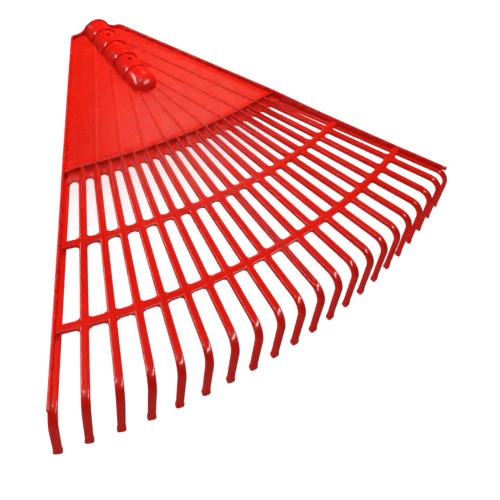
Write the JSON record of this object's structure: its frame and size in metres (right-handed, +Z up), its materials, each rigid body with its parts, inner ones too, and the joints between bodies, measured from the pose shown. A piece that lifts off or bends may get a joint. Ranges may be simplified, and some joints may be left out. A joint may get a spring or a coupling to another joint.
{
  "type": "leaf rake head",
  "caption": "Fan-shaped leaf rake head of red moulded plastic: a ribbed web with a blind handle socket, and long tines joined by curved crossbars and bent down at the tips.",
  "frame": {"origin": "centre of the handle socket's mouth", "axes": "+Y out of the socket's mouth along the handle, +X across the fan, +Z up away from the ground; the tops of the tines lie in Z = 0"},
  "size_m": [0.4946, 0.434, 0.0785],
  "materials": {
    "red_plastic": "glossy injection-moulded polypropylene"
  },
  "bodies": {
    "root": {"web_panel": "red_plastic", "panel_front_wall": "red_plastic", "slot_apron": "red_plastic", "centre_spine": "red_plastic", "left_margin": "red_plastic", "right_margin": "red_plastic", "left_rail_wall": "red_plastic", "right_rail_wall": "red_plastic", "back_wall": "red_plastic", "handle_socket": "red_plastic", "socket_nose": "red_plastic", "inner_crossbar": "red_plastic", "outer_crossbar": "red_plastic", "panel_rib_1": "red_plastic", "panel_rib_2": "red_plastic", "panel_rib_3": "red_plastic", "panel_rib_4": "red_plastic", "panel_rib_5": "red_plastic", "panel_rib_6": "red_plastic", "panel_rib_7": "red_plastic", "panel_rib_8": "red_plastic", "panel_rib_9": "red_plastic", "tine_01": "red_plastic", "tine_02": "red_plastic", "tine_03": "red_plastic", "tine_04": "red_plastic", "tine_05": "red_plastic", "tine_06": "red_plastic", "tine_07": "red_plastic", "tine_08": "red_plastic", "tine_09": "red_plastic", "tine_10": "red_plastic", "tine_11": "red_plastic", "tine_12": "red_plastic", "tine_13": "red_plastic", "tine_14": "red_plastic", "tine_15": "red_plastic", "tine_16": "red_plastic", "tine_17": "red_plastic", "tine_18": "red_plastic", "tine_19": "red_plastic", "tine_20": "red_plastic", "tine_21": "red_plastic"}
  },
  "joints": []
}
